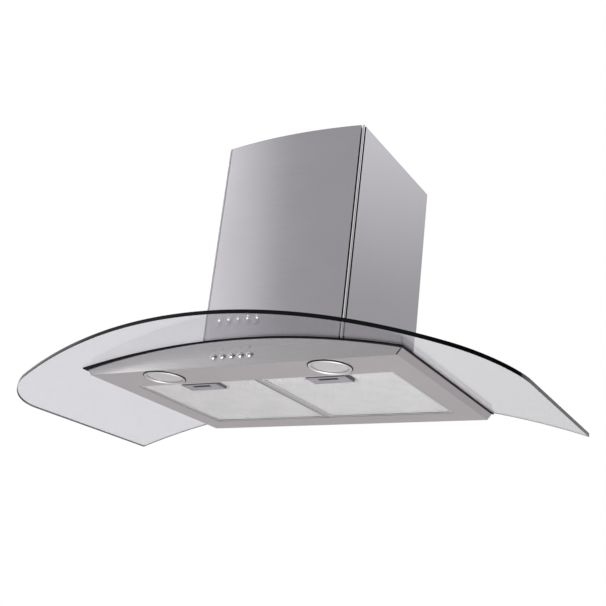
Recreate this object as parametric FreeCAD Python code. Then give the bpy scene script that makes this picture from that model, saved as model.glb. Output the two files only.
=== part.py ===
"""Wall-hung chimney range hood with an arched glass canopy, 900 mm wide.

Millimetres, +X to the right, -Y towards the cook, +Z up. The pieces are laid out about the highest point of the
glass underside, in line with the wall face, and are written with their origin at the centre of the wall fixings.
"""

import FreeCAD, Part

import math
import os

V = FreeCAD.Vector

# ---------------------------------------------------------------- driving dimensions

GLASS_WIDTH = 900.0
GLASS_DEPTH = 460.0  # on the centre line
GLASS_SIDE_DEPTH = 370.0  # where the front curve would meet the side edges
GLASS_CORNER_R = 110.0
GLASS_T = 6.0
ARCH_R = 1400.0  # underside of the glass, its axis running front to back

SEAL_T = 2.0
SEAL_OVERHANG = 2.6
SHEET = 1.0
GAP = 0.3  # between curved or sliding faces
DECK_TOP_R = ARCH_R - 2.9  # upper face of the sheet that carries the glass

BODY_H = 41.0  # from the top of the arch to the underside
BODY_BOTTOM_HALF = 277.0
BODY_TOP_HALF = 286.0  # where the sides meet the glass
BODY_BOTTOM_FRONT = -354.0
BODY_TOP_FRONT = -359.0
FASCIA_T = 1.2
FASCIA_SEAM = 1.8  # open seam between the front plate and each side wall

FILTER_HALF_SPAN = 236.0  # outer edge of each filter opening
DIVIDER_W = 10.0
FILTER_FRONT = -281.0
FILTER_REAR = -49.0
FILTER_CLEAR = 1.2
FILTER_H = 8.5
FILTER_RAIL = 3.0
MESH_T = 0.6
LATCH_X = 118.5
LATCH_W = 68.0
LATCH_FRONT = FILTER_FRONT + 7.0
LATCH_REAR = FILTER_FRONT + 38.0
LATCH_PROUD = 0.5  # how far the handle block stands below the body
LATCH_TRAVEL = 6.0

LAMP_X = 152.0
LAMP_Y = -319.0
LAMP_BEZEL_R = 34.0
LAMP_BEZEL_H = 1.8
LAMP_HOLE_R = 31.0
LAMP_LENS_R = 27.5

BUTTON_PITCH = 16.5
BUTTON_Z = -25.9
BUTTON_R = 4.6
BUTTON_TRAVEL = 3.0
BUTTON_NAMES = ["light", "off", "speed_1", "speed_2", "speed_3"]

CHIMNEY_HALF = 134.0
CHIMNEY_FRONT = -262.0  # at the corners
CHIMNEY_BOW = 11.0  # how far the middle of the front stands out
CHIMNEY_REAR = -4.0
CHIMNEY_TOP = 396.0
CORNER_STRIP = 3.4
BEAD_DEPTH = 2.4
CORNER_GROOVE = 1.6
SIDE_GROOVE = 4.0
UPPER_GAP = 1.5
UPPER_TRAVEL = 300.0
UPPER_TOP = 394.0

BOX_HALF = 105.0
BOX_FRONT = -226.0
BOX_TOP = 250.0
CUTOUT_HALF = 96.0
CUTOUT_FRONT = -214.0
CUTOUT_REAR = -26.0
GLASS_SCREW_X = 117.0
GLASS_SCREW_Y = (-214.0, -42.0)

FAN_Y, FAN_Z = -135.0, 104.0
FAN_R = 50.0
FAN_BLADE = 8.0
FAN_HALF_W = 48.0
FAN_BLADES = 36
SCROLL_R = 58.0
SCROLL_STEP = 7.0
SCROLL_HALF_W = 52.0

COLLAR_Y = -100.0
COLLAR_R = 74.5
COLLAR_H = 50.0
BOSS_INNER = 66.0  # inner end of the bosses that hold the flap rod

MOUTH_FRONT, MOUTH_REAR = -113.0, -50.0

FIX_CENTRE_Z = 180.0
FIX_SPACING_X = 180.0
FIX_SPACING_Z = 240.0
FIX_HOLE_R = 4.5
GLAND_X, GLAND_Y = -45.0, -209.0
GLAND_BORE_R = 4.0

LEFT, RIGHT = -1, 1
SIDE_NAME = {LEFT: "left", RIGHT: "right"}


# ---------------------------------------------------------------- shared shapes


def box(x0, x1, y0, y1, z0, z1):
    return Part.makeBox(x1 - x0, y1 - y0, z1 - z0, V(x0, y0, z0))


def rod(radius, start, end):
    line = V(*end) - V(*start)
    return Part.makeCylinder(radius, line.Length, V(*start), line)


def tube(outer, inner, start, end):
    return rod(outer, start, end).cut(rod(inner, start, end))


def prism(points, direction):
    """A closed outline of (x, y, z) points, pushed along direction."""
    corners = [V(*p) for p in points]
    return Part.Face(Part.makePolygon(corners + corners[:1])).extrude(V(*direction))


def arch_drum(radius):
    """Everything inside this radius about the axis of the arch."""
    return Part.makeCylinder(radius, 700.0, V(0, -600, -ARCH_R), V(0, 1, 0))


def arch_sheet(plan, inner, outer):
    """The part of a tall plan solid that lies between two radii of the arch."""
    return plan.common(arch_drum(outer)).cut(arch_drum(inner))


def arch_z(x, radius):
    return math.sqrt(radius**2 - x**2) - ARCH_R


def rounded_box(x0, x1, y0, y1, z0, z1, radius):
    solid = box(x0, x1, y0, y1, z0, z1)
    upright = [e for e in solid.Edges if abs(e.tangentAt(e.FirstParameter).z) > 0.99]
    return solid.makeFillet(radius, upright)


def coil(radius, wire, pitch, height, place):
    """A round-wire spring standing on the local origin, moved to place."""
    path = Part.makeHelix(pitch, height, radius)
    start = path.Edges[0].valueAt(path.Edges[0].FirstParameter)
    ring = Part.Wire(Part.makeCircle(wire, start, path.Edges[0].tangentAt(path.Edges[0].FirstParameter)))
    spring = Part.Wire(path.Edges).makePipeShell([ring], True, True)
    return spring.transformGeometry(place.toMatrix())


def lead(points, radius):
    """A cable along straight runs joined by arcs as large as the runs allow."""
    corners = [V(*p) for p in points]
    edges, at = [], corners[0]
    for before, corner, after in zip(corners, corners[1:], corners[2:]):
        into, out = corner - before, after - corner
        reach = 0.45 * min(into.Length, out.Length)
        into.normalize()
        out.normalize()
        first, last = corner - into * reach, corner + out * reach
        half_turn = into.getAngle(out) / 2
        towards = (out - into).normalize()
        middle = corner + towards * (reach * math.tan(half_turn / 2))
        edges += [Part.LineSegment(at, first).toShape(), Part.Arc(first, middle, last).toShape()]
        at = last
    edges.append(Part.LineSegment(at, corners[-1]).toShape())
    path = Part.Wire(edges)
    ring = Part.Wire(Part.makeCircle(radius, corners[0], corners[1] - corners[0]))
    return path.makePipeShell([ring], True, True)


def group(solids):
    return Part.makeCompound(solids)


# ---------------------------------------------------------------- canopy glass, seal and deck


def glass_plan():
    """Tall solid with the plan outline of the glass: bowed front, round front corners, square rear corners."""
    half = GLASS_WIDTH / 2
    rise = GLASS_DEPTH - GLASS_SIDE_DEPTH
    front_r = (half**2 + rise**2) / (2 * rise)
    centre_y = front_r - GLASS_DEPTH
    fillet_x = half - GLASS_CORNER_R
    fillet_y = centre_y - math.sqrt((front_r - GLASS_CORNER_R) ** 2 - fillet_x**2)
    meet = math.atan2(fillet_x, centre_y - fillet_y)
    mid = (meet + math.pi / 2) / 2
    z = -120.0

    def on_fillet(angle, side):
        return V(side * (fillet_x + GLASS_CORNER_R * math.sin(angle)), fillet_y - GLASS_CORNER_R * math.cos(angle), z)

    left, right = on_fillet(meet, LEFT), on_fillet(meet, RIGHT)
    edges = [
        Part.Arc(left, V(0, -GLASS_DEPTH, z), right).toShape(),
        Part.Arc(right, on_fillet(mid, RIGHT), V(half, fillet_y, z)).toShape(),
        Part.LineSegment(V(half, fillet_y, z), V(half, 0, z)).toShape(),
        Part.LineSegment(V(half, 0, z), V(-half, 0, z)).toShape(),
        Part.LineSegment(V(-half, 0, z), V(-half, fillet_y, z)).toShape(),
        Part.Arc(V(-half, fillet_y, z), on_fillet(mid, LEFT), left).toShape(),
    ]
    return Part.Face(Part.Wire(edges)).extrude(V(0, 0, 160))


def air_cutout(grow=0.0):
    return rounded_box(
        -CUTOUT_HALF - grow, CUTOUT_HALF + grow, CUTOUT_FRONT - grow, CUTOUT_REAR + grow, -120, 40, 12 + grow
    )


def glass_screw_places():
    return [(x, y) for x in (-GLASS_SCREW_X, GLASS_SCREW_X) for y in GLASS_SCREW_Y]


def glass_canopy():
    glass = arch_sheet(glass_plan(), ARCH_R, ARCH_R + GLASS_T).cut(air_cutout())
    for x, y in glass_screw_places():
        glass = glass.cut(rod(5.0, (x, y, -40), (x, y, 40)))
    return glass


def glass_fixings():
    """Machine screws down through box flange, glass and deck, each with a nut and a sleeve that spares the glass."""
    pieces = []
    for x, y in glass_screw_places():
        top = arch_z(abs(x) - 8.0, ARCH_R + GLASS_T) + 2.2
        bottom = arch_z(abs(x) + 5.0, DECK_TOP_R - SHEET - 0.8)
        nut_top = bottom - 0.2
        screw = rod(2.5, (x, y, nut_top - 6), (x, y, top))
        screw = screw.fuse(rod(8.0, (x, y, top), (x, y, top + 1.2)))
        screw = screw.fuse(rod(4.5, (x, y, top + 1.2), (x, y, top + 4.2)))
        hexagon = [
            (x + 4.6 * math.cos(math.radians(60 * i)), y + 4.6 * math.sin(math.radians(60 * i)), nut_top - 4)
            for i in range(6)
        ]
        nut = prism(hexagon, (0, 0, 4)).cut(rod(2.6, (x, y, nut_top - 8), (x, y, nut_top + 1)))
        sleeve = tube(4.8, 2.8, (x, y, -40), (x, y, 40))
        sleeve = sleeve.common(arch_drum(ARCH_R + GLASS_T - 0.2)).cut(arch_drum(ARCH_R + 0.2))
        pieces += [screw.removeSplitter(), nut, sleeve]
    return group(pieces)


def side_slope():
    """How far each body side moves outwards for each millimetre of height."""
    return (BODY_TOP_HALF - BODY_BOTTOM_HALF) / (arch_z(BODY_TOP_HALF, ARCH_R) + BODY_H)


def front_slope():
    return (BODY_TOP_FRONT - BODY_BOTTOM_FRONT) / BODY_H


def body_block(inset=0.0, floor=-BODY_H, front_inset=None, rear=0.0):
    """The body's outer form, drawn in by inset from each wall, with its top left tall."""
    front_inset = inset if front_inset is None else front_inset
    low, high = floor, 12.0

    def half(z):
        return BODY_BOTTOM_HALF + (z + BODY_H) * side_slope() - inset * math.hypot(1, side_slope())

    def front(z):
        return BODY_BOTTOM_FRONT + (z + BODY_H) * front_slope() + front_inset * math.hypot(1, front_slope())

    across = prism(
        [(-half(low), -500, low), (half(low), -500, low), (half(high), -500, high), (-half(high), -500, high)],
        (0, 600, 0),
    )
    along = prism(
        [(-400, front(low), low), (-400, rear, low), (-400, rear, high), (-400, front(high), high)],
        (800, 0, 0),
    )
    return across.common(along)


def glass_seal():
    """Black rubber frame between the body's top edges and the glass."""
    outer = arch_z(BODY_TOP_HALF, ARCH_R)
    half = BODY_TOP_HALF + SEAL_OVERHANG
    ring = box(-half, half, BODY_TOP_FRONT - SEAL_OVERHANG, -1.0, outer - 10, 20)
    ring = ring.cut(box(-half + 14, half - 14, BODY_TOP_FRONT + 12, -12, outer - 20, 30))
    return arch_sheet(ring, ARCH_R - GAP - SEAL_T, ARCH_R - GAP)


def top_deck():
    """Curved steel sheet that carries the glass and closes the body above the filters."""
    inner = body_block(SHEET + GAP, -60, FASCIA_T + GAP, -SHEET - GAP)
    deck = arch_sheet(inner, DECK_TOP_R - SHEET, DECK_TOP_R).cut(air_cutout())
    for x, y in glass_screw_places():
        deck = deck.cut(rod(2.8, (x, y, -40), (x, y, 40)))
    return deck


# ---------------------------------------------------------------- canopy body


def filter_opening(side):
    """The plan of one filter opening, as low x, high x, front y, rear y."""
    inner, outer = DIVIDER_W / 2, FILTER_HALF_SPAN
    low, high = (inner, outer) if side == RIGHT else (-outer, -inner)
    return low, high, FILTER_FRONT, FILTER_REAR


def canopy_shell():
    """Folded underside, sides and rear of the body."""
    trimmed = arch_drum(ARCH_R - 2 * GAP - SEAL_T)
    outer = body_block(0, -BODY_H, FASCIA_T + 0.2).common(trimmed)
    shell = outer.cut(body_block(SHEET, -BODY_H + SHEET, -20.0, -SHEET))
    shell = shell.cut(box(-FILTER_HALF_SPAN, FILTER_HALF_SPAN, FILTER_FRONT, FILTER_REAR, -60, -35))
    for side in (LEFT, RIGHT):
        x = side * LAMP_X
        shell = shell.cut(rod(LAMP_HOLE_R, (x, LAMP_Y, -60), (x, LAMP_Y, -35)))
    return shell


def on_fascia(shape, x):
    """Moves a shape drawn along +Z at the origin so that +Z points out of the fascia at a button."""
    out = V(0, -1, front_slope()).normalize()
    face_y = BODY_BOTTOM_FRONT + (BUTTON_Z + BODY_H) * front_slope()
    placed = shape.copy()
    placed.Placement = FreeCAD.Placement(V(x, face_y, BUTTON_Z), FreeCAD.Rotation(V(0, 0, 1), out))
    return placed


def button_x(index):
    return (index - (len(BUTTON_NAMES) - 1) / 2) * BUTTON_PITCH


def front_fascia():
    """Front plate of the body, with an arched top edge and the button holes."""
    trimmed = arch_drum(ARCH_R - 2 * GAP - SEAL_T)
    plate = body_block(FASCIA_SEAM, front_inset=0.0).cut(body_block(-30.0, -80, FASCIA_T, 60.0)).common(trimmed)
    for index in range(len(BUTTON_NAMES)):
        plate = plate.cut(on_fascia(rod(5.0, (0, 0, -8), (0, 0, 8)), button_x(index)))
    return plate


def filter_divider():
    """Shallow channel that fills the gap between the two filters and rests on both lips."""
    half = DIVIDER_W / 2
    low = -BODY_H + SHEET
    bar = box(-half, half, FILTER_FRONT - 2.5, FILTER_REAR + 8, low, low + SHEET)
    for x in (-half, half - SHEET):
        bar = bar.fuse(box(x, x + SHEET, FILTER_FRONT - 2.5, FILTER_REAR + 3, low, low + 7))
    return bar.removeSplitter()


def plenum_baffle():
    """Upright sheet that keeps the electrics apart from the greasy air."""
    inner = body_block(SHEET + GAP, -BODY_H + SHEET, -20.0, -SHEET)
    plate = inner.common(box(-300, 300, FILTER_FRONT - 6, FILTER_FRONT - 5, -60, 20))
    foot = inner.common(box(-260, 260, FILTER_FRONT - 5, FILTER_FRONT - 3.2, -60, -BODY_H + 2 * SHEET))
    baffle = plate.fuse(foot).common(arch_drum(DECK_TOP_R - SHEET - GAP)).removeSplitter()
    return baffle.cut(rod(5.0, (85, FILTER_FRONT - 20, -24), (85, FILTER_FRONT, -24)))


# ---------------------------------------------------------------- grease filters


def filter_plan(side):
    low, high, front, rear = filter_opening(side)
    return low + FILTER_CLEAR, high - FILTER_CLEAR, front + FILTER_CLEAR, rear - FILTER_CLEAR


def filter_heights():
    low = -BODY_H + 0.5
    return low, low + FILTER_H


def latch_bounds(side):
    x = side * LATCH_X
    return x - LATCH_W / 2, x + LATCH_W / 2, LATCH_FRONT, LATCH_REAR


def filter_frame(side):
    """Aluminium channel frame with two rear tabs that hook over the rear lip."""
    x0, x1, y0, y1 = filter_plan(side)
    z0, z1 = filter_heights()
    wall, flange = 1.0, 0.6
    frame = box(x0, x1, y0, y1, z0, z1)
    frame = frame.cut(box(x0 + wall, x1 - wall, y0 + wall, y1 - wall, z0 + flange, z1 - flange))
    frame = frame.cut(
        box(x0 + FILTER_RAIL, x1 - FILTER_RAIL, y0 + FILTER_RAIL, y1 - FILTER_RAIL, z0 - 1, z1 + 1)
    )
    lx0, lx1, ly0, ly1 = latch_bounds(side)
    frame = frame.cut(box(lx0 - GAP, lx1 + GAP, ly0 - GAP, ly1 + GAP, z0 - 1, z1 + 1))
    centre = (x0 + x1) / 2
    lip_top = -BODY_H + SHEET
    for offset in (-70, 70):
        tab = box(centre + offset - 12, centre + offset + 12, y1 - 0.8, y1 + 8, lip_top + 0.2, lip_top + 1.4)
        frame = frame.fuse(tab)
    return frame.removeSplitter()


def filter_mesh(side):
    """The lower and upper expanded aluminium sheets held in the frame's channel."""
    x0, x1, y0, y1 = filter_plan(side)
    z0, z1 = filter_heights()
    edge = 1.0 + GAP
    lx0, lx1, ly0, ly1 = latch_bounds(side)
    sheets = []
    for low in (z0 + 0.8, z1 - 0.8 - MESH_T):
        sheet = box(x0 + edge, x1 - edge, y0 + edge, y1 - edge, low, low + MESH_T)
        sheets.append(sheet.cut(box(lx0 - 1, lx1 + 1, ly0 - 1, ly1 + 1, z0 - 1, z1 + 1)))
    return group(sheets)


def latch_housing(side):
    """Moulded grey handle block let into the filter behind its front rail, with a finger slot."""
    x0, x1, y0, y1 = latch_bounds(side)
    x = side * LATCH_X
    low, high = -BODY_H - LATCH_PROUD, -BODY_H + 8.0
    block = rounded_box(x0, x1, y0, y1, low, high, 1.0)
    block = block.cut(box(x - 18.5, x + 18.5, y0 + 1.4, y0 + 27.5, low + 2.0, high - 1.5))
    return block.cut(box(x - 17, x + 17, y0 + 5, y0 + 14, low - 1, low + 3))


def latch_slider(side):
    """Spring-loaded bolt with a finger lip that hangs in the slot of its housing."""
    _, _, y0, _ = latch_bounds(side)
    x = side * LATCH_X
    low = -BODY_H - LATCH_PROUD
    slider = box(x - 18, x + 18, y0 + 1.6, y0 + 16, low + 2.2, low + 4.2)
    slider = slider.fuse(box(x - 16, x + 16, y0 + 5.4, y0 + 7.4, low + 0.2, low + 2.2))
    slider = slider.fuse(box(x - 8, x + 8, y0 + 1.6, y0 + 16, low + 4.2, low + 6.6))
    return slider.removeSplitter()


def latch_spring(side):
    _, _, y0, _ = latch_bounds(side)
    place = FreeCAD.Placement(V(side * LATCH_X, y0 + 16.5, -BODY_H + 3.8), FreeCAD.Rotation(V(0, 0, 1), V(0, 1, 0)))
    return coil(1.6, 0.3, 1.9, 9.8, place)


# ---------------------------------------------------------------- lamps


def lamp_bezel(side):
    """Chromed ring pressed into the underside, with a rolled edge that stands below it."""
    x = side * LAMP_X
    low = -BODY_H - LAMP_BEZEL_H
    rim = tube(LAMP_BEZEL_R, LAMP_LENS_R - 1.5, (x, LAMP_Y, low), (x, LAMP_Y, -BODY_H))
    outer = [e for e in rim.Edges if e.Length > 2 * math.pi * (LAMP_BEZEL_R - 1) and e.BoundBox.ZMax < low + 0.1]
    rim = rim.makeFillet(1.2, outer)
    sleeve = tube(LAMP_HOLE_R - 0.4, LAMP_HOLE_R - 1.6, (x, LAMP_Y, -BODY_H - 0.5), (x, LAMP_Y, -BODY_H + 7))
    return rim.cut(rod(LAMP_LENS_R + 0.3, (x, LAMP_Y, low + 1.0), (x, LAMP_Y, -30))).fuse(sleeve).removeSplitter()


def lamp_lens(side):
    x = side * LAMP_X
    low = -BODY_H - 0.7
    return rod(LAMP_LENS_R, (x, LAMP_Y, low), (x, LAMP_Y, low + 1.6))


def lamp_can(side):
    """Pressed steel dish above the lens."""
    x = side * LAMP_X
    low, high = -BODY_H + 1.0, -19.0
    can = rod(LAMP_LENS_R + 1.0, (x, LAMP_Y, low), (x, LAMP_Y, high))
    can = can.cut(rod(LAMP_LENS_R, (x, LAMP_Y, low - 1), (x, LAMP_Y, high - 1)))
    return can.cut(rod(5.2, (x, LAMP_Y, high - 2), (x, LAMP_Y, high + 1)))


def lamp_bulb(side):
    """Halogen capsule standing down from a ceramic holder."""
    x = side * LAMP_X
    capsule = rod(4.5, (x, LAMP_Y, -34), (x, LAMP_Y, -26)).fuse(Part.makeSphere(4.5, V(x, LAMP_Y, -34)))
    holder = rod(5.0, (x, LAMP_Y, -26), (x, LAMP_Y, -18.6))
    return capsule.fuse(holder).removeSplitter()


# ---------------------------------------------------------------- push buttons


def button(index):
    """Domed chrome cap on a stem that runs back into the switch block."""
    cap = rod(BUTTON_R, (0, 0, -4), (0, 0, 3.2))
    dome_r = (BUTTON_R**2 + 3.0**2) / 6.0
    dome = Part.makeSphere(dome_r, V(0, 0, 6.2 - dome_r)).common(rod(BUTTON_R, (0, 0, 3.2), (0, 0, 8)))
    stem = rod(2.4, (0, 0, -20), (0, 0, -4))
    return on_fascia(cap.fuse(dome).fuse(stem).removeSplitter(), button_x(index))


def button_bezels():
    """Thin rings that line the button holes."""
    ring = tube(6.2, 4.9, (0, 0, 0.02), (0, 0, 0.8))
    return group([on_fascia(ring, button_x(i)) for i in range(len(BUTTON_NAMES))])


def button_spring(index):
    local = coil(3.4, 0.5, 1.9, 4.8, FreeCAD.Placement(V(0, 0, -9.6), FreeCAD.Rotation()))
    return on_fascia(local, button_x(index))


def switch_block():
    """Moulded block with one guided contact chamber behind each button."""
    half = BUTTON_PITCH * 2 + 9
    block = Part.makeBox(2 * half, 15, 20, V(-half, -7.5, -30.2))
    for index in range(len(BUTTON_NAMES)):
        x = button_x(index)
        block = block.cut(rod(2.6, (x, 0, -25), (x, 0, -9)))
    for x in (-half - 7, half):
        block = block.fuse(Part.makeBox(7, 15, 2, V(x, -7.5, -30.2)))
    return on_fascia(block.removeSplitter(), 0)


def switch_bracket():
    """Bent steel strip that carries the switch block off the underside."""
    half = BUTTON_PITCH * 2 + 17
    face_y = BODY_BOTTOM_FRONT + (BUTTON_Z + BODY_H) * front_slope()
    floor = -BODY_H + SHEET
    plate = box(-half, half, face_y + 31.2, face_y + 32.2, floor, -12)
    foot = box(-half, half, face_y + 32.2, face_y + 43, floor, floor + SHEET)
    return plate.fuse(foot).removeSplitter()


# ---------------------------------------------------------------- electrics


def lamp_transformer():
    body = rounded_box(64, 108, -342, -306, -39, -15, 3)
    for y in (-342 - 6, -306):
        body = body.fuse(box(76, 96, y, y + 6, -39, -37.5))
    return body.removeSplitter()


def control_box():
    """Plastic terminal box on top of the blower box, with a seat for the cable gland."""
    outer = rounded_box(-60, 60, -225, -193, BOX_TOP + 1.2, BOX_TOP + 41, 2)
    outer = outer.cut(box(-57.5, 57.5, -222.5, -195.5, BOX_TOP + 3.5, BOX_TOP + 38.5))
    outer = outer.cut(rod(7.0, (GLAND_X, GLAND_Y, BOX_TOP + 36), (GLAND_X, GLAND_Y, BOX_TOP + 45)))
    return outer.cut(rod(3.6, (40, -209, BOX_TOP), (40, -209, BOX_TOP + 6)))


def mains_gland():
    low, high = BOX_TOP + 38.5, BOX_TOP + 53
    gland = rod(6.9, (GLAND_X, GLAND_Y, low), (GLAND_X, GLAND_Y, high))
    gland = gland.fuse(rod(9.5, (GLAND_X, GLAND_Y, BOX_TOP + 41.1), (GLAND_X, GLAND_Y, BOX_TOP + 46)))
    bore = rod(GLAND_BORE_R, (GLAND_X, GLAND_Y, low - 1), (GLAND_X, GLAND_Y, high + 1))
    return gland.cut(bore).removeSplitter()


def run_capacitor():
    x, y = 82.0, -209.0
    can = rod(13, (x, y, BOX_TOP + 1.2), (x, y, BOX_TOP + 44))
    return can.fuse(rod(4, (x, y, BOX_TOP + 44), (x, y, BOX_TOP + 50))).removeSplitter()


def wiring_loom():
    """Leads from the control box to the transformer, and on to the lamps and the switches."""
    supply = [
        (85, -305.4, -24),
        (85, -240, -24),
        (85, -202, -20),
        (84, -200, 20),
        (82, -203, 120),
        (60, -204, 175),
        (42, -208, 215),
        (40, -209, BOX_TOP + 3.4),
    ]
    to_left_lamp = [
        (62.8, -312, -24),
        (45, -303, -23),
        (0, -300, -22),
        (-50, -300, -23),
        (-95, -305, -26),
        (-LAMP_X + LAMP_LENS_R + 2.2, -317, -28),
    ]
    to_right_lamp = [(109.0, -322, -27), (114, -321.5, -27.3), (LAMP_X - LAMP_LENS_R - 2.2, -321, -28)]
    return group([lead(supply, 2.6), lead(to_left_lamp, 1.6), lead(to_right_lamp, 1.6)])


# ---------------------------------------------------------------- blower


def hanging_plate():
    """Wall plate at the back of the blower box, with four fixing holes."""
    plate = box(-115, 115, -1.5, 0, 12, 330)
    for x in (-FIX_SPACING_X / 2, FIX_SPACING_X / 2):
        for z in (FIX_CENTRE_Z - FIX_SPACING_Z / 2, FIX_CENTRE_Z + FIX_SPACING_Z / 2):
            plate = plate.cut(rod(FIX_HOLE_R, (x, -5, z), (x, 5, z)))
    return plate


def blower_box():
    """Galvanised box over the cut-out: front, sides and top, with a curved foot flange on the glass."""
    top = BOX_TOP
    shell = box(-BOX_HALF, BOX_HALF, BOX_FRONT, -1.6, -20, top)
    shell = shell.cut(box(-BOX_HALF + 1, BOX_HALF - 1, BOX_FRONT + 1, 5, -30, top - 1))
    mouth = SCROLL_HALF_W - 2
    shell = shell.cut(box(-mouth, mouth, MOUTH_FRONT, MOUTH_REAR, top - 5, top + 5))
    shell = shell.cut(rod(3.6, (40, -209, top - 5), (40, -209, top + 5)))
    shell = shell.cut(arch_drum(ARCH_R + GLASS_T + GAP))
    plan = box(-BOX_HALF - 21, BOX_HALF + 21, BOX_FRONT - 6, -6, -40, 30)
    plan = plan.cut(box(-BOX_HALF + 1, BOX_HALF - 1, BOX_FRONT + 1, 5, -50, 40))
    flange = arch_sheet(plan, ARCH_R + GLASS_T + GAP, ARCH_R + GLASS_T + GAP + 1.2)
    for x, y in glass_screw_places():
        flange = flange.cut(rod(2.8, (x, y, -40), (x, y, 40)))
    return shell.fuse(flange).removeSplitter()


def scroll_outline(grow):
    """Spiral blower outline in the Y-Z plane, opening upwards, grown outwards by grow."""
    step, first = SCROLL_STEP, SCROLL_R + grow
    tongue = math.radians(70)
    top = BOX_TOP - 1.2

    def at(centre, radius, angle):
        return V(0, FAN_Y + centre[0] + radius * math.cos(angle), FAN_Z + centre[1] + radius * math.sin(angle))

    centres = [(0, 0), (0, -step), (step, -step), (step, 0)]
    radii = [first + i * step for i in range(4)]
    edges = []
    for i, (centre, radius) in enumerate(zip(centres, radii)):
        start = tongue if i == 0 else i * math.pi / 2
        end = (i + 1) * math.pi / 2
        edges.append(
            Part.Arc(at(centre, radius, start), at(centre, radius, (start + end) / 2), at(centre, radius, end)).toShape()
        )
    lip = at(centres[0], radii[0], tongue)
    outer = at(centres[3], radii[3], 2 * math.pi)
    corners = [outer, V(0, outer.y, top), V(0, lip.y, top), lip]
    edges += [Part.LineSegment(a, b).toShape() for a, b in zip(corners, corners[1:])]
    return Part.Face(Part.Wire(edges))


def blower_scroll():
    """Sheet-metal volute with an inlet on each side and an outlet under the duct collar."""
    half, wall = SCROLL_HALF_W, 1.2
    outside = scroll_outline(wall)
    outside.translate(V(-half, 0, 0))
    solid = outside.extrude(V(2 * half, 0, 0))
    inside = scroll_outline(0.0)
    inside.translate(V(-half + wall, 0, 0))
    cavity = inside.extrude(V(2 * half - 2 * wall, 0, 0))
    cavity = cavity.fuse(box(-half + wall, half - wall, MOUTH_FRONT, MOUTH_REAR, BOX_TOP - 20, BOX_TOP + 1))
    scroll = solid.cut(cavity)
    return scroll.cut(rod(FAN_R + 0.5, (-half - 5, FAN_Y, FAN_Z), (half + 5, FAN_Y, FAN_Z)))


def inlet_rings():
    """Bell-mouthed ring over each side inlet."""
    rings = []
    for side in (LEFT, RIGHT):
        near, far = side * (SCROLL_HALF_W + 0.1), side * (SCROLL_HALF_W + 4)
        rings.append(tube(FAN_R + 8, FAN_R - 7, (near, FAN_Y, FAN_Z), (far, FAN_Y, FAN_Z)))
    return group(rings)


def impeller():
    """Double-inlet squirrel-cage wheel with its hub and shaft."""
    half = FAN_HALF_W
    middle = (FAN_Y, FAN_Z)
    wheel = rod(FAN_R, (-1.5, *middle), (1.5, *middle))
    for side in (LEFT, RIGHT):
        ring = tube(FAN_R, FAN_R - FAN_BLADE, (side * (half - 2), *middle), (side * half, *middle))
        wheel = wheel.fuse(ring)
    inner = FAN_R - FAN_BLADE
    blade = Part.makeBox(2 * half - 2, 0.8, FAN_BLADE - 0.6, V(-half + 1, -0.4, inner + 0.3))
    blade.rotate(V(0, 0, inner + 0.3), V(1, 0, 0), 25)
    blades = []
    for i in range(FAN_BLADES):
        one = blade.copy()
        one.rotate(V(0, 0, 0), V(1, 0, 0), 360.0 * i / FAN_BLADES)
        one.translate(V(0, *middle))
        blades.append(one)
    wheel = wheel.fuse(blades)
    wheel = wheel.fuse(rod(9, (-10, *middle), (5, *middle)))
    return wheel.fuse(rod(4, (-14, *middle), (68, *middle))).removeSplitter()


def fan_motor():
    middle = (FAN_Y, FAN_Z)
    motor = rod(34, (7, *middle), (64, *middle)).fuse(rod(14, (64, *middle), (70, *middle)))
    return motor.cut(rod(4.05, (0, *middle), (80, *middle))).removeSplitter()


def motor_bracket():
    """Three-armed spider that holds the motor in the right inlet."""
    near, far = SCROLL_HALF_W + 4.2, SCROLL_HALF_W + 6.2
    middle = (FAN_Y, FAN_Z)
    spider = tube(38, 34.2, (near, *middle), (far + 4, *middle))
    spider = spider.fuse(tube(FAN_R + 8, FAN_R + 4, (near, *middle), (far, *middle)))
    for i in range(3):
        arm = Part.makeBox(far - near, 9, FAN_R - 30, V(near, -4.5, 36))
        arm.rotate(V(0, 0, 0), V(1, 0, 0), 120.0 * i)
        arm.translate(V(0, *middle))
        spider = spider.fuse(arm)
    return spider.cut(rod(34.2, (near - 1, *middle), (far + 9, *middle))).removeSplitter()


def outlet_collar():
    """Flanged spigot that the duct is pushed over."""
    centre = (0, COLLAR_Y)
    low = BOX_TOP + 0.1
    collar = tube(COLLAR_R, COLLAR_R - 1.2, (*centre, low), (*centre, low + COLLAR_H))
    collar = collar.fuse(tube(COLLAR_R + 13, COLLAR_R - 1.2, (*centre, low), (*centre, low + 1.2)))
    seat = tube(COLLAR_R - 1, COLLAR_R - 4.4, (*centre, low + 21), (*centre, low + 22.2))
    collar = collar.fuse(seat)
    for side in (LEFT, RIGHT):
        x0, x1 = sorted((side * BOSS_INNER, side * (COLLAR_R - 0.8)))
        collar = collar.fuse(box(x0, x1, COLLAR_Y - 4, COLLAR_Y + 4, low + 23.5, low + 29))
        hole_end = side * (COLLAR_R - 1.7)
        collar = collar.cut(rod(1.52, (0, COLLAR_Y, low + 26), (hole_end, COLLAR_Y, low + 26)))
    return collar.removeSplitter()


def flap_rod():
    z = BOX_TOP + 0.1 + 26
    return rod(1.5, (-COLLAR_R + 1.8, COLLAR_Y, z), (COLLAR_R - 1.8, COLLAR_Y, z))


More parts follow.
